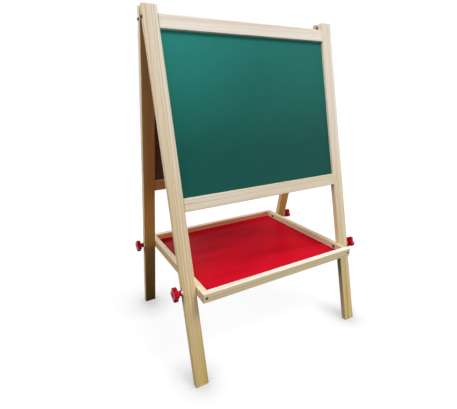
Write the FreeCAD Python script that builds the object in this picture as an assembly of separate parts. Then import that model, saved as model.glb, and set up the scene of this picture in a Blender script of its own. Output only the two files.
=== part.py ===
"""Double-sided kids easel: two hinged leaning frames, a chalkboard, a whiteboard and a clamped tray.

Millimetres and degrees. The origin is on the floor under the middle of the easel, +Z is up, -Y is the
chalkboard side and +X is to the right of somebody who faces the chalkboard.
"""
import FreeCAD
import Part

import math
import os

from FreeCAD import Vector

# ---- Leaning frames ----------------------------------------------------------------------------
frame_width = 640.0            # over the outer edges of the two legs
leg_length = 1038.0            # along the outer face, from the top end to the floor
leg_width = 40.0               # the face that looks forwards
leg_thickness = 18.0
leg_edge_round = 2.5           # planed round on every long edge of a leg
leg_end_round = 1.2            # sanded round on the top end
lean_deg = 13.0                # of each frame from the vertical
rail_height = 37.0             # of the two rails that hold a board
rail_edge_round = 2.0
leg_top_margin = 21.0          # leg standing above the top rail
board_opening_height = 440.0   # between the two rails

# ---- Boards, held in grooves ---------------------------------------------------------------------
board_thickness = 3.0
board_recess = 9.5             # from the front face of the frame to the face of the board
board_groove_depth = 6.0
board_face_clearance = 0.1     # each side of the board in its groove
board_edge_clearance = 0.4     # from the board's edge to the bottom of its groove

# ---- Fasteners of the frames ---------------------------------------------------------------------
frame_screw_radius = 2.25
frame_screw_length = 70.0
frame_screw_head_radius = 4.3
frame_screw_head_height = 2.8
dowel_radius = 3.0
dowel_length = 30.0
dowel_spacing = 18.0           # between a pair of dowels in one joint, or a dowel and a screw
dowel_end_clearance = 1.0
recess_depth = 1.4             # of the cross recess in every screw head
recess_slot = 0.9              # width of each of its two slots
recess_share = 1.1             # of the head's radius, the length of a slot

# ---- Butt hinges at the top ----------------------------------------------------------------------
hinge_length = 40.0
hinge_overhang = 4.0           # past the inner edge of the leg
hinge_drop = 10.0              # from the top of the legs down to the hinge axis
hinge_leaf_height = 26.0
hinge_leaf_thickness = 1.6
hinge_knuckle_count = 5
hinge_barrel_radius = 3.4
hinge_barrel_clearance = 0.3   # from the barrel to the legs, and between knuckles
hinge_pin_radius = 1.5
hinge_pin_head_radius = 2.7
hinge_pin_head_length = 1.5
hinge_pin_tight_clearance = 0.02
hinge_pin_running_clearance = 0.05
hinge_screw_radius = 1.6
hinge_screw_head_radius = 3.1
hinge_screw_length = 14.0

# ---- Tray ----------------------------------------------------------------------------------------
tray_depth = 472.0             # front to back, over the rails
tray_top = 284.0               # height of the rails' top edge above the floor
tray_rail_height = 27.0
tray_rail_thickness = 19.0
tray_rail_round = 1.5
tray_side_clearance = 0.4      # from the tray to the inner edges of the legs
tray_floor_thickness = 3.0
tray_floor_lift = 4.0          # from the bottom of the rails to the underside of the floor
tray_groove_depth = 6.0
tray_screw_radius = 2.0
tray_screw_head_radius = 4.0
tray_screw_length = 45.0

# ---- Clamp bolts and star knobs ------------------------------------------------------------------
bolt_radius = 3.0
bolt_rise = 3.0                # from half the height of the tray's rails up to the bolts
bolt_running_clearance = 0.05
bolt_tight_clearance = 0.02    # in the knob that is moulded round it
insert_radius = 4.5
insert_length = 16.0
insert_flange_radius = 6.0
insert_flange_thickness = 1.2
bolt_tip_setback = 1.0         # from the inner end of the insert to the tip of a front bolt
bolt_depth_in_knob = 16.0
washer_radius = 8.0
washer_thickness = 1.6
knob_radius = 21.5
knob_valley_radius = 13.0
knob_lobe_count = 4
knob_lobe_share = 0.5          # part of the rim that the lobes take
knob_head_length = 13.0
knob_head_round = 4.0
knob_dish_radius = 7.5         # of the shallow dish moulded in the end of the head
knob_dish_depth = 1.2
knob_neck_length = 11.5
knob_neck_radius = 7.6         # at the washer
knob_shoulder_radius = 8.6     # where the neck meets the head
knob_turns = {"front_left": -13.0, "front_right": 15.0, "rear_left": 5.0, "rear_right": 22.0}  # as tightened

# ---- Worked out ----------------------------------------------------------------------------------
ORIGIN = Vector(0, 0, 0)
X_AXIS = Vector(1, 0, 0)
Y_AXIS = Vector(0, 1, 0)

lean = math.radians(lean_deg)
half_width = frame_width / 2
half_gap = half_width - leg_width                  # from the middle to the inner edge of a leg

# Each frame is drawn upright in front of the hinge axis, which is the origin of this drawing.
inner_face = -(hinge_barrel_radius + hinge_barrel_clearance)
outer_face = inner_face - leg_thickness
middle_face = (inner_face + outer_face) / 2
top_rail_top = hinge_drop - leg_top_margin
top_rail_bottom = top_rail_top - rail_height
bottom_rail_top = top_rail_bottom - board_opening_height
bottom_rail_bottom = bottom_rail_top - rail_height
top_rail_middle = top_rail_top - rail_height / 2
bottom_rail_middle = bottom_rail_top - rail_height / 2
# A bottom rail has a pair of dowels at each end; in a top rail a screw takes the upper one's place.
frame_screw_height = top_rail_middle + dowel_spacing / 2
dowel_heights = [top_rail_middle - dowel_spacing / 2, bottom_rail_middle - dowel_spacing / 2,
                 bottom_rail_middle + dowel_spacing / 2]
board_face = outer_face + board_recess
hinge_height = leg_length * math.cos(lean) + outer_face * math.sin(lean) - hinge_drop * math.cos(lean)

tray_half_width = half_gap - tray_side_clearance
tray_half_depth = tray_depth / 2
tray_bottom = tray_top - tray_rail_height
tray_floor_bottom = tray_bottom + tray_floor_lift

# The clamp bolts cross the legs a little above half the height of the tray's rails.
tray_middle = tray_top - tray_rail_height / 2
bolt_height = tray_middle + bolt_rise
bolt_drop = (bolt_height - hinge_height + middle_face * math.sin(lean)) / math.cos(lean)
bolt_reach = -(middle_face * math.cos(lean) + bolt_drop * math.sin(lean))


def box(x_range, y_range, z_range):
    """A block between pairs of coordinates."""
    size = [high - low for low, high in (x_range, y_range, z_range)]
    return Part.makeBox(*size, Vector(x_range[0], y_range[0], z_range[0]))


def round_long_edges(block, direction, radius):
    """Rounds the edges of a block that run along a direction."""
    edges = [edge for edge in block.Edges if abs(edge.tangentAt(edge.FirstParameter).dot(direction)) > 0.99]
    return block.makeFillet(radius, edges)


def rod_x(radius, x_start, x_end, y, z):
    """A round rod along X between two coordinates given in either order."""
    low, high = sorted((x_start, x_end))
    return Part.makeCylinder(radius, high - low, Vector(low, y, z), X_AXIS)


def turned(profile, base, direction):
    """A solid of revolution: profile is a list of (distance along the axis, radius) corners."""
    points = [Vector(radius, 0, along) for along, radius in profile]
    solid = Part.Face(Part.makePolygon(points + points[:1])).revolve(ORIGIN, Vector(0, 0, 1), 360)
    solid.Placement = FreeCAD.Placement(base, FreeCAD.Rotation(Vector(0, 0, 1), direction))
    return solid


def cross_recess(head_radius, head_height, seat):
    """The two crossed slots sunk in a screw head that stands head_height out of its seat."""
    reach = recess_share * head_radius / 2
    depths = (-head_height - 1, recess_depth - head_height)
    slots = [box((-reach, reach), (-recess_slot / 2, recess_slot / 2), depths),
             box((-recess_slot / 2, recess_slot / 2), (-reach, reach), depths)]
    cross = slots[0].fuse(slots[1])
    base, direction = seat
    cross.Placement = FreeCAD.Placement(base, FreeCAD.Rotation(Vector(0, 0, 1), direction))
    return cross


def flat_screw(radius, head_radius, length, seat, recessed):
    """A pointed screw whose head lies flush with its seat, a (point, direction) pair."""
    head_depth = head_radius - radius
    profile = [(0, 0), (0, head_radius), (head_depth, radius), (length - 2 * radius, radius), (length, 0)]
    blank = turned(profile, *seat)
    return blank.cut(cross_recess(head_radius, 0, seat)) if recessed else blank


def pan_screw(radius, head_radius, head_height, length, seat, recessed):
    """A pointed screw whose domed head stands on its seat, a (point, direction) pair."""
    profile = [(-head_height, 0), (-head_height, 0.6 * head_radius), (-0.4 * head_height, head_radius),
               (0, head_radius), (0, radius), (length - 2 * radius, radius), (length, 0)]
    blank = turned(profile, *seat)
    return blank.cut(cross_recess(head_radius, head_height, seat)) if recessed else blank


def stand(shape, side):
    """Leans an upright frame piece about the hinge axis, on the front or, mirrored, on the rear."""
    placed = shape.copy()
    placed.rotate(ORIGIN, X_AXIS, -lean_deg)
    if side == "rear":
        placed = placed.mirror(ORIGIN, Y_AXIS)
    placed.translate(Vector(0, 0, hinge_height))
    return placed


def save(node, shapes):
    """Writes one named piece, or a group of like pieces, as a STEP file."""
    shape = shapes if isinstance(shapes, Part.Shape) else Part.makeCompound(shapes)
    shape.exportStep("parts/" + node + ".step")


# ---- Fasteners of one upright frame: the recess is cut in the real screws, not in their holes -------
def frame_screws(recessed=False):
    """A pan-headed screw driven from the outer edge of each leg into the end of the top rail."""
    screws = []
    for end in (-1, 1):
        seat = (Vector(end * half_width, middle_face, frame_screw_height), Vector(-end, 0, 0))
        screws.append(pan_screw(frame_screw_radius, frame_screw_head_radius, frame_screw_head_height,
                                frame_screw_length, seat, recessed))
    return screws


def dowels(end_clearance=0.0):
    """Dowels across the joints of legs and rails; a clearance gives the holes they sit in."""
    reach = dowel_length / 2 + end_clearance
    pegs = []
    for end in (-1, 1):
        for height in dowel_heights:
            joint = end * half_gap
            pegs.append(rod_x(dowel_radius, joint - reach, joint + reach, middle_face, height))
    return pegs


# ---- Hinges ------------------------------------------------------------------------------------------
def hinge_span(end):
    """Where a hinge lies along X: its inner end overhangs the inner edge of the leg."""
    inner = end * (half_gap - hinge_overhang)
    outer = inner + end * hinge_length
    return min(inner, outer), max(inner, outer)


def hinge_screws(end, recessed=False):
    """Two flat-headed screws through a leaf into the inner face of the leg."""
    low, high = hinge_span(end)
    face = inner_face + hinge_leaf_thickness
    screws = []
    for share in (0.25, 0.75):
        seat = (Vector(low + share * (high - low), face, -hinge_leaf_height / 2), Vector(0, -1, 0))
        screws.append(flat_screw(hinge_screw_radius, hinge_screw_head_radius, hinge_screw_length,
                                 seat, recessed))
    return screws


def hinge_leaf(end, first_knuckle, pin_clearance):
    """A leaf with every second knuckle; the room for the other leaf's knuckles is cut out."""
    low, high = hinge_span(end)
    pitch = (high - low) / hinge_knuckle_count
    leaf = box((low, high), (inner_face, inner_face + hinge_leaf_thickness), (-hinge_leaf_height, 0))
    room = hinge_barrel_radius + 2 * hinge_barrel_clearance
    gap = hinge_barrel_clearance / 2
    for index in range(hinge_knuckle_count):
        start = low + index * pitch
        if index % 2 == first_knuckle:
            barrel_start = start + (gap if index else 0)
            barrel_end = start + pitch - (gap if index < hinge_knuckle_count - 1 else 0)
            leaf = leaf.fuse(rod_x(hinge_barrel_radius, barrel_start, barrel_end, 0, 0))
        else:
            notch_start = start - gap if index else start
            notch_end = start + pitch + gap if index < hinge_knuckle_count - 1 else high
            notch_y = (inner_face - 1, hinge_barrel_radius)
            leaf = leaf.cut(box((notch_start, notch_end), notch_y, (-room, room)))
    leaf = leaf.cut(rod_x(hinge_pin_radius + pin_clearance, low - 1, high + 1, 0, 0))
    for screw in hinge_screws(end):
        leaf = leaf.cut(screw)
    return leaf.removeSplitter()


def hinge_pin(end):
    """The pin with a flat head at each end of the barrel."""
    low, high = hinge_span(end)
    pin = rod_x(hinge_pin_radius, low - hinge_pin_head_length, high + hinge_pin_head_length, 0, 0)
    pin = pin.fuse(rod_x(hinge_pin_head_radius, low - hinge_pin_head_length, low, 0, 0))
    return pin.fuse(rod_x(hinge_pin_head_radius, high, high + hinge_pin_head_length, 0, 0))


# ---- Frames --------------------------------------------------------------------------------------------
def leg(end, side):
    """One leg: rounded, grooved for the board, drilled, leaned and sawn off level with the floor."""
    across = sorted((end * half_gap, end * half_width))
    below_floor = -leg_length - leg_width
    post = box(across, (outer_face, inner_face), (below_floor, hinge_drop))
    post = round_long_edges(post, Vector(0, 0, 1), leg_edge_round)
    top_rim = [edge for edge in post.Edges if edge.BoundBox.ZMin > hinge_drop - 0.01]
    post = post.makeFillet(leg_end_round, top_rim)
    groove_x = sorted((end * (half_gap - 1), end * (half_gap + board_groove_depth)))
    groove_y = (board_face - board_face_clearance, board_face + board_thickness + board_face_clearance)
    groove_z = (bottom_rail_top - board_groove_depth, top_rail_bottom + board_groove_depth)
    cutters = [box(groove_x, groove_y, groove_z)]
    cutters += frame_screws() + dowels(dowel_end_clearance) + hinge_screws(end)
    bolt_hole = bolt_radius + bolt_running_clearance
    cutters.append(rod_x(bolt_hole, end * (half_gap - 1), end * (half_width + 1), middle_face, bolt_drop))
    for cutter in cutters:
        post = post.cut(cutter)
    floor = box((-frame_width, frame_width), (-leg_length, leg_length), (-leg_length, 0))
    return stand(post, side).cut(floor)


def rail(top, board_side):
    """A rail of one frame, grooved on the edge that meets the board: board_side is -1 below, 1 above."""
    bar = box((-half_gap, half_gap), (outer_face, inner_face), (top - rail_height, top))
    bar = round_long_edges(bar, X_AXIS, rail_edge_round)
    edge = top if board_side > 0 else top - rail_height
    groove_y = (board_face - board_face_clearance, board_face + board_thickness + board_face_clearance)
    groove_z = sorted((edge + board_side, edge - board_side * board_groove_depth))
    cutters = [box((-half_width, half_width), groove_y, groove_z)]
    cutters += frame_screws() + dowels(dowel_end_clearance)
    for cutter in cutters:
        bar = bar.cut(cutter)
    return bar


def board():
    """The panel that slides in the grooves of the legs and the rails."""
    reach = board_groove_depth - board_edge_clearance
    return box((-half_gap - reach, half_gap + reach), (board_face, board_face + board_thickness),
               (bottom_rail_top - reach, top_rail_bottom + reach))


def build_frame(side, board_name, first_knuckle, pin_clearance):
    """All the pieces of the front or the rear frame."""
    for name, end in (("left", -1), ("right", 1)):
        save(side + "_" + name + "_leg", leg(end, side))
        save(name + "_hinge_" + side + "_leaf", stand(hinge_leaf(end, first_knuckle, pin_clearance), side))
    save(side + "_top_rail", stand(rail(top_rail_top, -1), side))
    save(side + "_bottom_rail", stand(rail(bottom_rail_top, 1), side))
    save(board_name, stand(board(), side))
    save(side + "_frame_screws", [stand(screw, side) for screw in frame_screws(recessed=True)])
    save(side + "_frame_dowels", [stand(peg, side) for peg in dowels()])
    leaf_screws = hinge_screws(-1, recessed=True) + hinge_screws(1, recessed=True)
    save(side + "_hinge_screws", [stand(screw, side) for screw in leaf_screws])


# ---- Tray ------------------------------------------------------------------------------------------------
def tray_screws(recessed=False):
    """Flat-headed screws through the front and rear rails into the ends of the side rails."""
    screws = []
    side_rail = tray_half_width - tray_rail_thickness / 2
    for end in (-1, 1):
        for face in (-1, 1):
            base = Vector(end * side_rail, face * tray_half_depth, tray_middle)
            screws.append(flat_screw(tray_screw_radius, tray_screw_head_radius, tray_screw_length,
                                     (base, Vector(0, -face, 0)), recessed))
    return screws


def tray_floor_room(face_clearance, edge_clearance):
    """The block that the tray's floor takes up in its grooves, larger or smaller by the clearances."""
    x = tray_half_width - tray_rail_thickness + tray_groove_depth - edge_clearance
    y = tray_half_depth - tray_rail_thickness + tray_groove_depth - edge_clearance
    return box((-x, x), (-y, y), (tray_floor_bottom - face_clearance,
                                  tray_floor_bottom + tray_floor_thickness + face_clearance))


def insert(end, face, hollow=True):
    """A flanged threaded insert, set in a side rail from the inside of the tray."""
    inner = end * (tray_half_width - tray_rail_thickness)
    y = face * bolt_reach
    flange_face = inner - end * insert_flange_thickness
    body = rod_x(insert_radius, inner, inner + end * insert_length, y, bolt_height)
    body = body.fuse(rod_x(insert_flange_radius, flange_face, inner, y, bolt_height))
    if hollow:
        body = body.cut(bolt_passage(end, face))
    return body


def bolt_passage(end, face):
    """The running hole for a clamp bolt through a side rail of the tray and its insert."""
    radius = bolt_radius + bolt_running_clearance
    y = face * bolt_reach
    inner = tray_half_width - tray_rail_thickness - 2 * insert_flange_thickness
    return rod_x(radius, end * inner, end * (tray_half_width + 1), y, bolt_height)


def build_tray():
    """The four butt-jointed rails, the floor and the tray's fasteners."""
    heights = (tray_bottom, tray_top)
    floor_room = tray_floor_room(board_face_clearance, 0)
    inner_depth = tray_half_depth - tray_rail_thickness
    for name, face in (("front", -1), ("rear", 1)):
        depths = sorted((face * inner_depth, face * tray_half_depth))
        bar = box((-tray_half_width, tray_half_width), depths, heights)
        bar = round_long_edges(bar, X_AXIS, tray_rail_round).cut(floor_room)
        for screw in tray_screws():
            bar = bar.cut(screw)
        save("tray_" + name + "_rail", bar)
    for name, end in (("left", -1), ("right", 1)):
        across = sorted((end * (tray_half_width - tray_rail_thickness), end * tray_half_width))
        bar = box(across, (-inner_depth, inner_depth), heights)
        bar = round_long_edges(bar, Y_AXIS, tray_rail_round).cut(floor_room)
        for cutter in tray_screws():
            bar = bar.cut(cutter)
        for face in (-1, 1):
            bar = bar.cut(insert(end, face, hollow=False)).cut(bolt_passage(end, face))
        save("tray_" + name + "_rail", bar)
    save("tray_floor", tray_floor_room(0, board_edge_clearance))
    save("tray_corner_screws", tray_screws(recessed=True))
    save("tray_threaded_inserts", [insert(end, face) for end in (-1, 1) for face in (-1, 1)])


# ---- Knobs -------------------------------------------------------------------------------------------------
def star(length):
    """A prism with rounded lobes and hollows between them, standing on the origin along Z."""
    pitch = 2 * math.pi / knob_lobe_count
    lobe = pitch * knob_lobe_share / 2
    rim_radius = (knob_radius + knob_valley_radius) / 2

    def rim_point(radius, angle):
        return Vector(radius * math.cos(angle), radius * math.sin(angle), 0)

    arcs = []
    for index in range(knob_lobe_count):
        middle = index * pitch
        start = rim_point(rim_radius, middle - lobe)
        end = rim_point(rim_radius, middle + lobe)
        following = rim_point(rim_radius, middle + pitch - lobe)
        arcs.append(Part.Arc(start, rim_point(knob_radius, middle), end).toShape())
        arcs.append(Part.Arc(end, rim_point(knob_valley_radius, middle + pitch / 2), following).toShape())
    return Part.Face(Part.Wire(arcs)).extrude(Vector(0, 0, length))


def star_knob():
    """A knob with its neck at the origin and its axis along Z: a lobed head with a rounded rim."""
    head_start = knob_neck_length
    head_end = knob_neck_length + knob_head_length
    drum = Part.makeCylinder(knob_radius, knob_head_length, Vector(0, 0, head_start))
    rims = [edge for edge in drum.Edges if isinstance(edge.Curve, Part.Circle)]
    drum = drum.makeFillet(knob_head_round, rims)
    head = star(head_end).common(drum)
    root = head_start + knob_head_length / 2
    neck_profile = [(0, 0), (0, knob_neck_radius), (head_start, knob_shoulder_radius),
                    (root, knob_shoulder_radius), (root, 0)]
    neck = turned(neck_profile, ORIGIN, Vector(0, 0, 1))
    dish = Part.makeCylinder(knob_dish_radius, knob_dish_depth, Vector(0, 0, head_end - knob_dish_depth))
    bore = Part.makeCylinder(bolt_radius + bolt_tight_clearance, bolt_depth_in_knob)
    return head.fuse(neck).cut(dish).cut(bore).removeSplitter()


def build_clamp(side_name, face, end_name, end):
    """A washer, a star knob and its bolt on the outer edge of one leg."""
    y = face * bolt_reach
    seat = end * (half_width + washer_thickness)
    washer = rod_x(washer_radius, end * half_width, seat, y, bolt_height)
    hole = bolt_radius + bolt_running_clearance
    washer = washer.cut(rod_x(hole, end * (half_width - 1), seat + end, y, bolt_height))
    # The front bolts reach through the tray's inserts; the rear ones stop at the inner edge of the leg.
    tray_inner = tray_half_width - tray_rail_thickness
    tip = end * (tray_inner + bolt_tip_setback if side_name == "front" else half_gap)
    corner = side_name + "_" + end_name
    centre = Vector(seat, y, bolt_height)
    knob = star_knob()
    knob.Placement = FreeCAD.Placement(centre, FreeCAD.Rotation(Vector(0, 0, 1), Vector(end, 0, 0)))
    knob.rotate(centre, X_AXIS, knob_turns[corner])
    save(corner + "_washer", washer)
    save(corner + "_knob", knob)
    save(corner + "_bolt", rod_x(bolt_radius, tip, seat + end * bolt_depth_in_knob, y, bolt_height))


# ---- The easel ---------------------------------------------------------------------------------------------
os.makedirs("parts", exist_ok=True)
build_frame("front", "chalkboard", 0, hinge_pin_tight_clearance)
build_frame("rear", "whiteboard", 1, hinge_pin_running_clearance)
for hinge_name, hinge_end in (("left", -1), ("right", 1)):
    save(hinge_name + "_hinge_pin", stand(hinge_pin(hinge_end), "front"))
build_tray()
for clamp_side, clamp_face in (("front", -1), ("rear", 1)):
    for clamp_name, clamp_end in (("left", -1), ("right", 1)):
        build_clamp(clamp_side, clamp_face, clamp_name, clamp_end)

print("hinge axis height", round(hinge_height, 3))
print("clamp bolts at", round(bolt_reach, 3), "in front and behind, height", round(bolt_height, 3))
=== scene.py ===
import math

import bpy
from mathutils import Euler, Matrix, Vector


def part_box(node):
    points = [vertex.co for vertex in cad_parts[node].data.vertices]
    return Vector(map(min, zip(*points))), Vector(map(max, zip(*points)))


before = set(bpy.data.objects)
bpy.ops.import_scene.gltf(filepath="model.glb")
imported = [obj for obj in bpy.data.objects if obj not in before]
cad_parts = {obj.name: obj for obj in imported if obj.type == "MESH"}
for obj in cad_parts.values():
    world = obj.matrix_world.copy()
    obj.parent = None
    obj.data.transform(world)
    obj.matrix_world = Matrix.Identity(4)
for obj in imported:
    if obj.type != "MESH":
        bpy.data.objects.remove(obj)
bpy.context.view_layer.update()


# ---- Legs --------------------------------------------------------------------------------------
# Four posts of planed pine, 40 by 18 mm, sanded with softly rounded edges and left unpainted.
# They are sawn lengthwise, so soft bands of cream and tan run from head to foot.
LEAN = math.radians(13.0)          # of each pair of legs, out from upright
RING_WIDTH = 0.010
SANDED_EDGE = 0.0015               # radius
GRAIN_DEPTH = 0.00025
PINE_CREAM = "efe6d7"
PINE_STRAW = "e6d7bd"
PINE_BAND = "cdb08e"
PINE_RESIN = "94673a"
PINE_STREAK = "b88c56"
PINE_SAWN_END = "e6d2b0"
PINE_RUBBED = "efe2c8"
PINE_SALLOW = ("f9e0ac", "e2d68b")
# Painted shade multiplied onto the inner faces of the legs and frame rails
PINE_SIDE_SHADE = ("ffd596", "857346")  # at the head and at the foot of a leg
PINE_GLOSS = 0.12


def paint(code):
    """The linear colour of a six-figure sRGB code."""
    parts = [int(code[i:i + 2], 16) / 255 for i in (0, 2, 4)]
    return [p / 12.92 if p <= 0.04045 else ((p + 0.055) / 1.055) ** 2.4 for p in parts] + [1.0]


def place(tree, kind, feeds=None, **options):
    """Adds a node, sets its options, and feeds its inputs with values or with other outputs."""
    node = tree.nodes.new("ShaderNode" + kind)
    for option, value in options.items():
        setattr(node, option, value)
    for socket, value in (feeds or {}).items():
        if isinstance(value, bpy.types.NodeSocket):
            tree.links.new(value, node.inputs[socket])
        else:
            node.inputs[socket].default_value = value
    return node


def ramp(tree, value, stops):
    """A colour ramp fed by a value, with stops of (position, colour)."""
    node = place(tree, "ValToRGB", {0: value})
    while len(node.color_ramp.elements) < len(stops):
        node.color_ramp.elements.new(0.5)
    for element, (position, colour) in zip(node.color_ramp.elements, stops):
        element.position = position
        element.color = colour
    return node.outputs[0]


def grey(level):
    return [level, level, level, 1.0]


def maths(tree, operation, *values):
    feeds = dict(enumerate(values))
    return place(tree, "Math", feeds, operation=operation).outputs[0]


def vector(tree, operation, *values):
    """A vector sum; a length, a distance or a dot product comes back as a number."""
    node = place(tree, "VectorMath", dict(enumerate(values)), operation=operation)
    number = operation in ("LENGTH", "DISTANCE", "DOT_PRODUCT")
    return node.outputs["Value" if number else "Vector"]


def between(tree, value, low, high, start=0.0, end=1.0):
    """Maps a value from low..high to start..end, and keeps it there."""
    feeds = {"Value": value, "From Min": low, "From Max": high, "To Min": start, "To Max": end}
    return place(tree, "MapRange", feeds).outputs[0]


def mix(tree, share, first, second, blend="MIX"):
    feeds = {0: share, 6: first, 7: second}
    return place(tree, "Mix", feeds, data_type="RGBA", blend_type=blend).outputs[2]


def noise(tree, where, scale, detail=2.0, roughness=0.5):
    """Noise over a vector that is stretched by scale, a (x, y, z) in cycles per metre."""
    stretched = vector(tree, "MULTIPLY", where, scale)
    feeds = {"Vector": stretched, "Scale": 1.0, "Detail": detail, "Roughness": roughness}
    return place(tree, "TexNoise", feeds)


def start_group(name, inputs, outputs):
    """A shader node group with inputs of (name, kind, value) and outputs of (name, kind)."""
    group = bpy.data.node_groups.new(name, "ShaderNodeTree")
    for label, kind, value in inputs:
        socket = group.interface.new_socket(label, in_out="INPUT", socket_type="NodeSocket" + kind)
        socket.default_value = value
    for label, kind in outputs:
        group.interface.new_socket(label, in_out="OUTPUT", socket_type="NodeSocket" + kind)
    given = group.nodes.new("NodeGroupInput").outputs
    return group, given, group.nodes.new("NodeGroupOutput")


def use_group(tree, group, feeds):
    return place(tree, "Group", feeds, node_tree=group).outputs


def start_material(name):
    """A material with its node tree and its Principled shader."""
    material = bpy.data.materials.new(name)
    material.use_nodes = True
    return material, material.node_tree, material.node_tree.nodes["Principled BSDF"]


def dress(material, *pieces):
    """Puts a material on loaded pieces."""
    for piece in pieces:
        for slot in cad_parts[piece].material_slots:
            slot.material = material


# Growth rings round the heart of the log, which lies along Z of the vector given to the group.
growth, given, result = start_group(
    "Wood growth rings",
    [("Vector", "Vector", (0, 0, 0)), ("Seed", "Float", 0.0), ("Ring Width", "Float", 0.007),
     ("Early Wood", "Color", paint(PINE_CREAM)), ("Warm Wood", "Color", paint(PINE_STRAW)),
     ("Late Wood", "Color", paint(PINE_BAND)), ("Contrast", "Float", 0.7)],
    [("Color", "Color"), ("Roughness", "Float"), ("Height", "Float")])
slide = place(growth, "CombineXYZ", {"Z": given["Seed"]}).outputs[0]
spot = vector(growth, "ADD", given["Vector"], slide)
sway = vector(growth, "SUBTRACT", noise(growth, spot, (15, 15, 2.0)).outputs[1], (0.5, 0.5, 0.5))
bent = vector(growth, "ADD", given["Vector"], vector(growth, "MULTIPLY", sway, (0.014, 0.014, 0)))
radius = vector(growth, "LENGTH", vector(growth, "MULTIPLY", bent, (1, 1, 0)))
count = maths(growth, "DIVIDE", radius, given["Ring Width"])
season = place(growth, "TexNoise", {"W": count, "Scale": 0.41, "Detail": 1.0},
               noise_dimensions="1D")
count = maths(growth, "MULTIPLY_ADD", season.outputs[0], 3.2, count)
year = place(growth, "TexWhiteNoise", {"W": maths(growth, "FLOOR", count)}, noise_dimensions="1D")
late = ramp(growth, maths(growth, "FRACT", count),
            [(0.0, grey(0.3)), (0.2, grey(0.0)), (0.45, grey(0.1)), (0.75, grey(0.7)),
             (0.9, grey(1.0)), (1.0, grey(0.3))])
late = maths(growth, "MULTIPLY", late, between(growth, year.outputs[0], 0, 1, 0.3, 1.0))
late = maths(growth, "MULTIPLY", late, given["Contrast"])
warmth = between(growth, noise(growth, spot, (26, 26, 1.1), 3.0).outputs[0], 0.4, 0.62)
wood = mix(growth, warmth, given["Early Wood"], given["Warm Wood"])
wood = mix(growth, late, wood, given["Late Wood"])
fibre = noise(growth, spot, (640, 640, 11), 3.0, 0.6).outputs[0]
fibre_shade = ramp(growth, fibre, [(0.3, grey(0.9)), (0.62, grey(1.0))])
wood = mix(growth, 1.0, wood, fibre_shade, "MULTIPLY")
resin = between(growth, noise(growth, spot, (1500, 1500, 70), 1.0).outputs[0], 0.7, 0.78, 0, 0.35)
wood = mix(growth, resin, wood, paint(PINE_RESIN))
streak = between(growth, noise(growth, spot, (115, 115, 2.4)).outputs[0], 0.64, 0.76, 0, 0.5)
wood = mix(growth, streak, wood, paint(PINE_STREAK))
growth.links.new(wood, result.inputs["Color"])
sheen = between(growth, fibre, 0.2, 0.8, 0.64, 0.5)
growth.links.new(maths(growth, "MULTIPLY_ADD", late, -0.1, sheen), result.inputs["Roughness"])
growth.links.new(maths(growth, "MULTIPLY_ADD", late, 0.6, fibre), result.inputs["Height"])

# Edges that hands and cartons have rubbed: where they are, and the surface rounded over them.
rubbing, given, result = start_group(
    "Edge wear",
    [("Radius", "Float", 0.001), ("Wear", "Float", 0.5), ("Patchiness", "Float", 90.0)],
    [("Mask", "Float"), ("Normal", "Vector")])
rounded = place(rubbing, "Bevel", {"Radius": given["Radius"]}, samples=4).outputs[0]
flat = place(rubbing, "NewGeometry").outputs["Normal"]
edge = between(rubbing, vector(rubbing, "DOT_PRODUCT", rounded, flat), 0.985, 0.8)
here = place(rubbing, "TexCoord").outputs["Object"]
patch = place(rubbing, "TexNoise", {"Vector": here, "Scale": given["Patchiness"], "Detail": 3.0})
edge = maths(rubbing, "MULTIPLY", edge, between(rubbing, patch.outputs[0], 0.35, 0.6, 0.35, 1.0))
rubbing.links.new(maths(rubbing, "MULTIPLY", edge, given["Wear"]), result.inputs["Mask"])
rubbing.links.new(rounded, result.inputs["Normal"])


def surface(tree, shader, colour, roughness, height, normal, depth, strength=0.5):
    """Feeds a Principled shader with a colour, a roughness and a bump of a depth in metres."""
    bump = place(tree, "Bump", {"Height": height, "Distance": depth, "Strength": strength,
                                "Normal": normal})
    for socket, value in (("Base Color", colour), ("Roughness", roughness)):
        tree.links.new(value, shader.inputs[socket])
    tree.links.new(bump.outputs[0], shader.inputs["Normal"])


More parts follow.
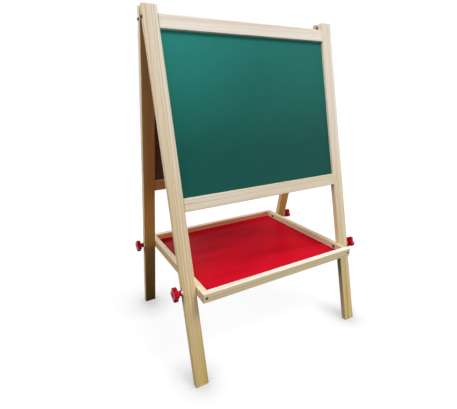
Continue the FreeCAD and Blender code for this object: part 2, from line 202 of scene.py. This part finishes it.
def pine(piece, across, along, heart, seed, contrast=0.7, sallow=0.0, tint="ffffff",
         shaded_side=None, side_shade=PINE_SIDE_SHADE, woods=(PINE_CREAM, PINE_STRAW)):
    """Bare pine sawn along a direction; heart is where the log's middle lies from the piece's.

    Sallow makes it yellower and darker towards one end, and tint tones the whole piece. One face
    can carry painted shade: the shaded side is that face's outward direction, and the side shade is
    the painted shade's tone at either end. Woods are the colours of the early wood between the
    rings and of its warmer patches.
    """
    material, tree, shader = start_material("Pine of " + piece.replace("_", " "))
    low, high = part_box(piece)
    outward = along.cross(across)
    log = Matrix((across, outward, along)).transposed()
    middle = (low + high) / 2 + across * heart[0] + outward * heart[1]
    here = place(tree, "TexCoord").outputs["Object"]
    turn = (log @ Euler((0.012, 0.016, 0)).to_matrix()).to_euler()
    sawn = place(tree, "Mapping", {"Vector": here, "Location": middle, "Rotation": turn},
                 vector_type="TEXTURE").outputs[0]
    wood = use_group(tree, growth, {"Vector": sawn, "Seed": seed, "Ring Width": RING_WIDTH,
                                    "Early Wood": paint(woods[0]), "Warm Wood": paint(woods[1]),
                                    "Contrast": contrast})
    worn = use_group(tree, rubbing, {"Radius": SANDED_EDGE, "Wear": 0.35})
    length = place(tree, "SeparateXYZ", {0: sawn}).outputs[2]
    colour = mix(tree, 1.0, wood["Color"], paint(tint), "MULTIPLY")
    facing = place(tree, "TexCoord").outputs["Normal"]
    sawn_end = maths(tree, "ABSOLUTE", vector(tree, "DOT_PRODUCT", facing, along))
    sawn_end = between(tree, sawn_end, 0.8, 0.95)
    colour = mix(tree, sawn_end, colour, paint(PINE_SAWN_END), "MULTIPLY")
    butt = between(tree, length, 0.25, -0.55, 0.0, sallow)
    bands = between(tree, noise(tree, sawn, (80, 80, 1.5)).outputs[0], 0.42, 0.58)
    yellowed = mix(tree, bands, paint(PINE_SALLOW[0]), paint(PINE_SALLOW[1]))
    colour = mix(tree, butt, colour, yellowed, "MULTIPLY")
    # Painted shade: the shaded side is multiplied by a darker tone, which deepens towards the foot
    if shaded_side:
        facing = between(tree, vector(tree, "DOT_PRODUCT", facing, shaded_side), 0.8, 0.95)
        foot = between(tree, length, -0.1, -0.5, 0.0, sallow)
        painted_shade = mix(tree, foot, paint(side_shade[0]), paint(side_shade[1]))
        colour = mix(tree, facing, colour, painted_shade, "MULTIPLY")
    colour = mix(tree, worn["Mask"], colour, paint(PINE_RUBBED))
    surface(tree, shader, colour, wood["Roughness"], wood["Height"], worn["Normal"], GRAIN_DEPTH)
    shader.inputs["Specular IOR Level"].default_value = PINE_GLOSS
    dress(material, piece)


SIDEWAYS = Vector((1, 0, 0))
FRONT_UP = Vector((0, math.sin(LEAN), math.cos(LEAN)))
REAR_UP = Vector((0, -math.sin(LEAN), math.cos(LEAN)))
FRONT_INWARD = (0, math.cos(LEAN), -math.sin(LEAN))
REAR_INWARD = (0, -math.cos(LEAN), -math.sin(LEAN))

# Painted shade darkens the legs' inner faces, more towards the foot, most on the rear left leg
pine("front_left_leg", SIDEWAYS, FRONT_UP, (-0.085, 0.030), 1.3, contrast=0.9, sallow=1.0,
     tint="fcfaf6", shaded_side=FRONT_INWARD)
pine("front_right_leg", SIDEWAYS, FRONT_UP, (0.070, 0.045), 4.1, sallow=1.0,
     shaded_side=FRONT_INWARD)
pine("rear_left_leg", SIDEWAYS, REAR_UP, (-0.060, 0.060), 7.7, sallow=1.0, shaded_side=REAR_INWARD,
     side_shade=("ffd596", "74633a"))
pine("rear_right_leg", SIDEWAYS, REAR_UP, (0.095, 0.020), 9.2, sallow=1.0, tint="f4f2f7",
     shaded_side=REAR_INWARD)


# ---- Frame rails -------------------------------------------------------------------------------
# Two rails of the same pine join each pair of legs, above and below the board.
# They stand flush with the legs, and a groove in each takes the edge of the board.
PALE_WOODS = ("f4eee4", "ece2d2")  # early and warm wood of the palest lengths

# Painted shade darkens the rails' inner faces
pine("front_top_rail", FRONT_UP, SIDEWAYS, (-0.110, 0.020), 12.4, contrast=0.35,
     shaded_side=FRONT_INWARD, woods=PALE_WOODS)
pine("front_bottom_rail", FRONT_UP, SIDEWAYS, (0.060, 0.050), 15.0, contrast=0.5,
     shaded_side=FRONT_INWARD)
pine("rear_top_rail", REAR_UP, SIDEWAYS, (0.080, 0.035), 18.3, shaded_side=REAR_INWARD)
pine("rear_bottom_rail", REAR_UP, SIDEWAYS, (-0.075, 0.040), 21.6, shaded_side=REAR_INWARD)


# ---- Screws and dowels of the frames -----------------------------------------------------------
# Each end of a top rail is held in its leg by a black cross-headed screw and a beech dowel, and
# each end of a bottom rail by two beech dowels. The screws are driven from outside, so only
# their heads show; the dowels are glued inside the joint.
SCREW_BLACKS = ("1d1b1a", "2a2725")
SCREW_BARE = "8f8b86"
BEECH = ("dcb98f", "d0a67a", "a97c52")  # early, warm and late wood
BEECH_RING_WIDTH = 0.003


def lacquered_steel(name, colour, bare, roughness, wear):
    """Steel under a thin dark finish that is rubbed through to bare metal on its edges."""
    material, tree, shader = start_material(name)
    here = place(tree, "TexCoord").outputs["Object"]
    worn = use_group(tree, rubbing, {"Radius": 0.0004, "Wear": wear, "Patchiness": 700.0})
    speck = noise(tree, here, (900, 900, 900), 4.0, 0.65).outputs[0]
    cloud = noise(tree, here, (60, 60, 60), 3.0).outputs[0]
    tone = mix(tree, between(tree, cloud, 0.35, 0.65), paint(colour[0]), paint(colour[1]))
    tone = mix(tree, worn["Mask"], tone, paint(bare))
    gloss = between(tree, speck, 0.3, 0.7, roughness - 0.06, roughness + 0.1)
    surface(tree, shader, tone, gloss, speck, worn["Normal"], 0.00004)
    metal = between(tree, worn["Mask"], 0.0, 1.0, 0.35, 1.0)
    tree.links.new(metal, shader.inputs["Metallic"])
    return material


screw_black = lacquered_steel("Black screw steel", SCREW_BLACKS, SCREW_BARE, 0.38, 0.5)
dress(screw_black, "front_frame_screws", "rear_frame_screws")

for dowels, seed in (("front_frame_dowels", 2.2), ("rear_frame_dowels", 5.4)):
    beech, tree, shader = start_material("Beech of " + dowels.replace("_", " "))
    here = place(tree, "TexCoord").outputs["Object"]
    split = {"Vector": here, "Location": (0, 0.3, 0.7), "Rotation": (0, math.pi / 2, 0)}
    split = place(tree, "Mapping", split, vector_type="TEXTURE").outputs[0]
    wood = use_group(tree, growth, {"Vector": split, "Seed": seed, "Ring Width": BEECH_RING_WIDTH,
                                    "Early Wood": paint(BEECH[0]), "Warm Wood": paint(BEECH[1]),
                                    "Late Wood": paint(BEECH[2]), "Contrast": 0.4})
    worn = use_group(tree, rubbing, {"Radius": 0.0005, "Wear": 0.3})
    surface(tree, shader, wood["Color"], wood["Roughness"], wood["Height"], worn["Normal"], 0.0001)
    dress(beech, dowels)


# ---- Chalkboard --------------------------------------------------------------------------------
# A 3 mm hardboard panel let into the front frame, with matt green board paint on its face.
# Wiped chalk leaves a pale haze on it; its back is bare brown hardboard with a screen pattern.
HARDBOARD_BROWNS = ("4f2f1b", "7d5030")
HARDBOARD_BLOTCH = "3d2415"
# Painted light and shade: the board's green is darker low down and lighter high up
BOARD_GREENS_SHADED = ("15403b", "17443f")
BOARD_GREENS_LIT = ("1e655e", "216b63")
# Painted sheen: a paler green that glows at the board's upper left corner
BOARD_GREEN_SHEEN = "2b8c80"
BOARD_GREEN_GRIT = "155049"
CHALK_HAZE = "8fc0b5"
PAINTED_SHEEN_CORNER = (-0.28, -0.02, 0.95)  # the board's upper left corner
PAINTED_SHEEN_REACH = 0.3

hardboard, given, result = start_group(
    "Hardboard", [("Vector", "Vector", (0, 0, 0))],
    [("Color", "Color"), ("Roughness", "Float"), ("Height", "Float")])
fluff = noise(hardboard, given["Vector"], (420, 420, 420), 5.0, 0.7).outputs[0]
blotch = noise(hardboard, given["Vector"], (22, 22, 22), 3.0).outputs[0]
brown = mix(hardboard, between(hardboard, fluff, 0.3, 0.7),
            paint(HARDBOARD_BROWNS[0]), paint(HARDBOARD_BROWNS[1]))
brown = mix(hardboard, between(hardboard, blotch, 0.35, 0.65, 0, 0.35), brown,
            paint(HARDBOARD_BLOTCH))
weave = None
for turn in ((0, 0, 0), (0, math.pi / 2, 0)):
    wires = place(hardboard, "Mapping", {"Vector": given["Vector"], "Rotation": turn}).outputs[0]
    wave = place(hardboard, "TexWave", {"Vector": wires, "Scale": 190.0, "Distortion": 0.4})
    wave = wave.outputs[1]
    weave = wave if weave is None else maths(hardboard, "MAXIMUM", weave, wave)
hardboard.links.new(brown, result.inputs["Color"])
hardboard.links.new(between(hardboard, fluff, 0.2, 0.8, 0.7, 0.9), result.inputs["Roughness"])
hardboard.links.new(maths(hardboard, "MULTIPLY_ADD", fluff, 0.5, weave), result.inputs["Height"])


def faced_board(name, outward, face, gloss=0.5, gloss_tint="ffffff"):
    """Hardboard that wears a finish on one face; face(tree, where) gives its look."""
    material, tree, shader = start_material(name)
    coords = place(tree, "TexCoord")
    side = vector(tree, "DOT_PRODUCT", coords.outputs["Normal"], outward)
    side = between(tree, side, 0.45, 0.55)
    back = use_group(tree, hardboard, {"Vector": coords.outputs["Object"]})
    colour, roughness, height = face(tree, coords.outputs["Object"])
    colour = mix(tree, side, back["Color"], colour)
    roughness = between(tree, side, 0, 1, back["Roughness"], roughness)
    height = between(tree, side, 0, 1, back["Height"], height)
    worn = use_group(tree, rubbing, {"Radius": 0.0006, "Wear": 0.3})
    surface(tree, shader, colour, roughness, height, worn["Normal"], 0.00012)
    shader.inputs["Specular IOR Level"].default_value = gloss
    shader.inputs["Specular Tint"].default_value = paint(gloss_tint)
    return material


def wiped(tree, where, angle, stretch, seed):
    """Long soft streaks left by a cloth wiped along one slanting direction."""
    slant = place(tree, "Mapping", {"Vector": where, "Rotation": (0, angle, 0),
                                    "Location": (seed, seed, seed)}).outputs[0]
    return noise(tree, slant, stretch, 4.0, 0.6).outputs[0]


def chalk_face(tree, where):
    cloud = noise(tree, where, (3.2, 3.2, 3.2), 3.0).outputs[0]
    strokes = wiped(tree, where, math.radians(35), (7, 7, 75), 0.4)
    grit = noise(tree, where, (1400, 1400, 1400), 3.0, 0.7).outputs[0]
    height = place(tree, "SeparateXYZ", {0: where}).outputs[2]
    low, high = [mix(tree, between(tree, cloud, 0.35, 0.65), paint(first), paint(second))
                 for first, second in (BOARD_GREENS_SHADED, BOARD_GREENS_LIT)]
    # Painted shade low on the board and painted light high up, by height
    colour = mix(tree, between(tree, height, 0.63, 0.97), low, high)
    # Painted sheen, palest at the upper left corner and fading away from it
    corner = vector(tree, "DISTANCE", where, PAINTED_SHEEN_CORNER)
    corner = between(tree, corner, 0.0, PAINTED_SHEEN_REACH, 0.5, 0.0)
    colour = mix(tree, corner, colour, paint(BOARD_GREEN_SHEEN))
    haze = maths(tree, "MULTIPLY", between(tree, strokes, 0.5, 0.72),
                 between(tree, cloud, 0.4, 0.7))
    colour = mix(tree, maths(tree, "MULTIPLY", haze, 0.018), colour, paint(CHALK_HAZE))
    colour = mix(tree, between(tree, grit, 0.62, 0.72, 0, 0.12), colour, paint(BOARD_GREEN_GRIT))
    roughness = maths(tree, "MULTIPLY_ADD", haze, 0.08, between(tree, grit, 0.3, 0.7, 0.52, 0.62))
    return colour, roughness, grit


chalkboard = faced_board("Chalkboard", (0, -math.cos(LEAN), math.sin(LEAN)), chalk_face,
                         gloss=0.45, gloss_tint="3fe0c8")
dress(chalkboard, "chalkboard")


# ---- Whiteboard --------------------------------------------------------------------------------
# The same panel in the rear frame, with a smooth white lacquer for felt pens on its face.
# Wiped ink leaves faint bluish streaks; its back is bare hardboard too.
BOARD_WHITES = ("e9ecf5", "e3e8f2")
INK_GHOST = "b6c0d0"


def pen_face(tree, where):
    cloud = noise(tree, where, (4, 4, 4), 3.0).outputs[0]
    strokes = wiped(tree, where, math.radians(-28), (9, 9, 90), 1.7)
    ripple = noise(tree, where, (170, 170, 170), 2.0).outputs[0]
    colour = mix(tree, between(tree, cloud, 0.35, 0.65),
                 paint(BOARD_WHITES[0]), paint(BOARD_WHITES[1]))
    ghost = maths(tree, "MULTIPLY", between(tree, strokes, 0.54, 0.74),
                  between(tree, cloud, 0.45, 0.7))
    colour = mix(tree, maths(tree, "MULTIPLY", ghost, 0.22), colour, paint(INK_GHOST))
    roughness = maths(tree, "MULTIPLY_ADD", ghost, 0.18, between(tree, ripple, 0.3, 0.7, 0.14, 0.2))
    return colour, roughness, maths(tree, "MULTIPLY", ripple, 0.35)


whiteboard = faced_board("Whiteboard", (0, math.cos(LEAN), math.sin(LEAN)), pen_face)
dress(whiteboard, "whiteboard")


# ---- Hinges ------------------------------------------------------------------------------------
# Two steel butt hinges join the frames at the top, their leaves screwed to the legs' inner faces.
# Leaves and screws are stoved black, and rubbed bare on the knuckles; the pin's ends are bare.
HINGE_BLACKS = ("211e1c", "332e2a")
HINGE_BARE = "9a948c"
PIN_GREYS = ("8d8a86", "a5a29d")
PLATING_GRIME = "5d564c"
PLATING_RUBBED = "e4e6e8"

hinge_black = lacquered_steel("Black hinge steel", HINGE_BLACKS, HINGE_BARE, 0.34, 0.75)
dress(hinge_black, "left_hinge_front_leaf", "left_hinge_rear_leaf",
      "right_hinge_front_leaf", "right_hinge_rear_leaf")
dress(screw_black, "front_hinge_screws", "rear_hinge_screws")


def plated_steel(name, colour, roughness, grime):
    """Turned steel, bare or plated, a little cloudy, with fine marks from the lathe."""
    material, tree, shader = start_material(name)
    here = place(tree, "TexCoord").outputs["Object"]
    worn = use_group(tree, rubbing, {"Radius": 0.0003, "Wear": 0.6, "Patchiness": 500.0})
    cloud = noise(tree, here, (130, 130, 130), 4.0, 0.6).outputs[0]
    lathe = noise(tree, here, (3200, 260, 260), 2.0).outputs[0]
    tone = mix(tree, between(tree, cloud, 0.35, 0.65), paint(colour[0]), paint(colour[1]))
    tone = mix(tree, between(tree, cloud, 0.58, 0.75, 0, grime), tone, paint(PLATING_GRIME))
    tone = mix(tree, worn["Mask"], tone, paint(PLATING_RUBBED))
    gloss = between(tree, cloud, 0.3, 0.7, roughness - 0.05, roughness + 0.12)
    surface(tree, shader, tone, gloss, lathe, worn["Normal"], 0.00003)
    shader.inputs["Metallic"].default_value = 1.0
    return material


pin_steel = plated_steel("Hinge pin steel", PIN_GREYS, 0.34, 0.4)
dress(pin_steel, "left_hinge_pin", "right_hinge_pin")


# ---- Tray --------------------------------------------------------------------------------------
# Four pine rails butted and screwed at the corners, grooved inside for the floor.
# The side rails run front to back between the legs, and the clamp bolts screw into them.
BACKWARD = Vector((0, 1, 0))
UPWARD = Vector((0, 0, 1))
INSERT_GREYS = ("6a6359", "81796d")
# Lacquer reds; the darker one paints soft bands of shadow across the floor
FLOOR_REDS_WITH_SHADOW_BANDS = ("a60816", "c80f25")
FLOOR_SCUFF = "de4650"
# Painted shade in the corner where the floor meets the rails
FLOOR_EDGE_SHADE = "560710"         # where the lacquer meets the rails

# Painted shade tones one face of each rail darker and yellower: the front rail's front face and the
# side rails' outer faces; on the rear rail's inner face a red tone paints the floor's red light
# falling into its shade
pine("tray_front_rail", UPWARD, SIDEWAYS, (-0.065, 0.025), 24.2, tint="fbfdfe",
     shaded_side=-BACKWARD, side_shade=("fff0cd", "fff0cd"), woods=PALE_WOODS)
pine("tray_rear_rail", UPWARD, SIDEWAYS, (0.050, 0.055), 27.9, tint="fffcf2",
     shaded_side=-BACKWARD, side_shade=("ffae98", "ffae98"))
pine("tray_left_rail", UPWARD, BACKWARD, (-0.090, 0.015), 30.5, tint="fffcf2",
     shaded_side=-SIDEWAYS, side_shade=("f0dabc", "f0dabc"))
pine("tray_right_rail", UPWARD, BACKWARD, (0.070, 0.040), 33.8, tint="efe6d6",
     shaded_side=SIDEWAYS, side_shade=("fdefd3", "fdefd3"))


# The floor is a hardboard panel with a satin red lacquer on its upper face: painted shadow
# runs across it in cloudy bands, it has a slight orange-peel ripple and faint scuffs, and painted
# shade darkens it in a thin line along the rails.
def red_face(tree, where):
    # Painted shadow: the cloud sets soft darker bands across the floor
    cloud = noise(tree, vector(tree, "ADD", where, (4.1, 2.6, 0)), (2.4, 9, 9)).outputs[0]
    peel = noise(tree, where, (230, 230, 230), 2.0).outputs[0]
    scuff = wiped(tree, where, 0.0, (48, 7, 7), 2.3)
    colour = mix(tree, between(tree, cloud, 0.35, 0.62), paint(FLOOR_REDS_WITH_SHADOW_BANDS[0]), paint(FLOOR_REDS_WITH_SHADOW_BANDS[1]))
    colour = mix(tree, between(tree, scuff, 0.66, 0.8, 0, 0.04), colour, paint(FLOOR_SCUFF))
    # Painted shade: occlusion darkens the floor in the corner along the rails
    corner = place(tree, "AmbientOcclusion", {"Distance": 0.010}, samples=8).outputs["AO"]
    corner = between(tree, corner, 0.5, 0.85, 0.65, 0.0)
    colour = mix(tree, corner, colour, paint(FLOOR_EDGE_SHADE))
    roughness = between(tree, scuff, 0.55, 0.75, 0.28, 0.34)
    return colour, roughness, maths(tree, "MULTIPLY", peel, 0.5)


tray_red = faced_board("Red tray floor", (0, 0, 1), red_face, gloss=0.006, gloss_tint="ff5a5a")
dress(tray_red, "tray_floor")

# Black countersunk screws close the corners; the bolts run in dark plated inserts in the sides.
dress(screw_black, "tray_corner_screws")
insert_steel = plated_steel("Insert steel", INSERT_GREYS, 0.34, 0.4)
dress(insert_steel, "tray_threaded_inserts")


# ---- Clamp knobs -------------------------------------------------------------------------------
# Four-lobed knobs of red moulded plastic, each on a zinc-plated bolt with a washer under it.
# Hands have polished the lobes, and the plastic is faintly grained by its mould.
KNOB_REDS = ("a00516", "b60a20")
KNOB_RUBBED = "dc4550"
KNOB_GLOSS = 0.12
KNOB_GLOSS_TINT = "ff9a9a"
ZINC_GREYS = ("b4b7ba", "c9ccce")

knob_red, tree, shader = start_material("Red knob plastic")
here = place(tree, "TexCoord").outputs["Object"]
worn = use_group(tree, rubbing, {"Radius": 0.0009, "Wear": 0.5, "Patchiness": 260.0})
cloud = noise(tree, here, (70, 70, 70), 3.0).outputs[0]
grain = noise(tree, here, (1500, 1500, 1500), 3.0, 0.65).outputs[0]
tone = mix(tree, between(tree, cloud, 0.35, 0.65), paint(KNOB_REDS[0]), paint(KNOB_REDS[1]))
tone = mix(tree, maths(tree, "MULTIPLY", worn["Mask"], 0.35), tone, paint(KNOB_RUBBED))
gloss = between(tree, grain, 0.3, 0.7, 0.26, 0.36)
gloss = maths(tree, "MULTIPLY_ADD", worn["Mask"], -0.06, gloss)
surface(tree, shader, tone, gloss, grain, worn["Normal"], 0.00005)
shader.inputs["Specular IOR Level"].default_value = KNOB_GLOSS
shader.inputs["Specular Tint"].default_value = paint(KNOB_GLOSS_TINT)

bolt_zinc = plated_steel("Zinc of the bolts", ZINC_GREYS, 0.27, 0.35)
for corner in ("front_left", "front_right", "rear_left", "rear_right"):
    dress(knob_red, corner + "_knob")
    dress(bolt_zinc, corner + "_bolt", corner + "_washer")


# ---- Studio ------------------------------------------------------------------------------------
# A plain white floor that fades into a white surround, and six soft boxes: a strong one high in
# front, and weak ones low in front, at each side, and high and low behind. The floor and the
# surround look white of themselves, and a painted shadow darkens the floor close to the feet.
FLOOR_REACH = 9.0                  # from the middle to each edge
CAMERA_PLACE = (-0.6047, -0.9485, 0.8013)
CAMERA_TURN, CAMERA_TILT, CAMERA_ROLL = (math.radians(angle) for angle in (-29.57, 71.47, -0.51))
SENSOR_WIDTH = 36.0                # and the lens, in millimetres
LENS = 26.64

floor_mesh = bpy.data.meshes.new("studio_floor")
floor_corners = [(across * FLOOR_REACH, deep * FLOOR_REACH, 0)
                 for across, deep in ((-1, -1), (1, -1), (1, 1), (-1, 1))]
floor_mesh.from_pydata(floor_corners, [], [(0, 1, 2, 3)])
studio_floor = bpy.data.objects.new("studio_floor", floor_mesh)
bpy.context.scene.collection.objects.link(studio_floor)


def seen_directly(tree):
    """1 for rays that come from the camera, from a reflection or through glass, 0 for others."""
    path = place(tree, "LightPath").outputs
    seen = maths(tree, "MAXIMUM", path["Is Camera Ray"], path["Is Glossy Ray"])
    return maths(tree, "MAXIMUM", seen, path["Is Transmission Ray"])


floor_white = bpy.data.materials.new("Studio floor")
floor_white.use_nodes = True
tree = floor_white.node_tree
tree.nodes.clear()
here = place(tree, "TexCoord").outputs["Object"]
far = between(tree, vector(tree, "LENGTH", here), 0.7, 2.6, 0.855, 1.0)
# Painted contact shadow: the floor's glow is darkened where it is occluded near the feet
contact_shadow = place(tree, "AmbientOcclusion", {"Distance": 0.12}, samples=12).outputs["AO"]
bright = maths(tree, "MULTIPLY", far, between(tree, contact_shadow, 0.8, 1.0, 0.66, 1.0))
mottle = noise(tree, here, (40, 40, 40), 2.0).outputs[0]
seen = seen_directly(tree)
matt = mix(tree, mottle, grey(0.175), grey(0.185))
matt = mix(tree, seen, grey(0.07), matt)
matt = place(tree, "BsdfDiffuse", {"Color": matt})
bright = maths(tree, "MULTIPLY", bright, seen)
glow = place(tree, "Emission", {"Color": grey(1.0), "Strength": bright})
both = place(tree, "AddShader", {0: matt.outputs[0], 1: glow.outputs[0]})
place(tree, "OutputMaterial", {"Surface": both.outputs[0]})
floor_mesh.materials.append(floor_white)

surround = bpy.data.worlds.new("Studio surround")
surround.use_nodes = True
bpy.context.scene.world = surround
tree = surround.node_tree
tree.nodes.clear()
rise = place(tree, "TexCoord").outputs["Generated"]
rise = place(tree, "SeparateXYZ", {0: rise}).outputs[2]
dim = place(tree, "Background", {"Color": (1.0, 0.98, 0.95, 1.0),
                                 "Strength": between(tree, rise, 0.0, 1.0, 0.1, 0.38)})
white = place(tree, "Background", {"Color": grey(1.0), "Strength": 1.0})
chosen = place(tree, "MixShader", {0: seen_directly(tree), 1: dim.outputs[0], 2: white.outputs[0]})
place(tree, "OutputWorld", {"Surface": chosen.outputs[0]})


def soft_box(name, size, power, position, target, spread=180.0):
    """A square soft lamp aimed from its position at a target; spread is its cone in degrees."""
    lamp = bpy.data.lights.new(name, "AREA")
    lamp.shape = "SQUARE"
    lamp.size = size
    lamp.energy = power
    lamp.spread = math.radians(spread)
    holder = bpy.data.objects.new(name, lamp)
    holder.location = position
    aim = Vector(target) - Vector(position)
    holder.rotation_euler = aim.to_track_quat("-Z", "Y").to_euler()
    bpy.context.scene.collection.objects.link(holder)


soft_box("front_soft_box", 2.2, 204.0, (1.36, -2.55, 5.26), (0.0, 0.0, 0.5))
soft_box("low_front_soft_box", 1.6, 18.0, (0.2, -3.0, 1.1), (0.0, 0.0, 0.5))
soft_box("left_soft_box", 1.3, 8.0, (-2.6, -0.3, 1.8), (-0.3, 0.0, 1.0), spread=70.0)
soft_box("right_soft_box", 1.3, 8.0, (2.7, 0.3, 1.0), (0.3, 0.0, 0.6), spread=80.0)
soft_box("rear_soft_box", 2.0, 13.0, (0.6, 3.6, 2.9), (0.0, 0.1, 0.5))
soft_box("low_rear_soft_box", 1.6, 40.0, (0.2, 3.1, 1.3), (0.0, 0.1, 0.6))

camera = bpy.data.objects.new("studio_camera", bpy.data.cameras.new("studio_camera"))
camera.data.sensor_width = SENSOR_WIDTH
camera.data.lens = LENS
camera.data.clip_start = 0.05
camera.data.clip_end = 60.0
turn = Matrix.Rotation(CAMERA_TURN, 4, "Z") @ Matrix.Rotation(CAMERA_TILT, 4, "X")
roll = Matrix.Rotation(CAMERA_ROLL, 4, "Z")
camera.matrix_world = Matrix.Translation(CAMERA_PLACE) @ turn @ roll
bpy.context.scene.collection.objects.link(camera)
bpy.context.scene.camera = camera
bpy.context.scene.view_settings.view_transform = "Standard"
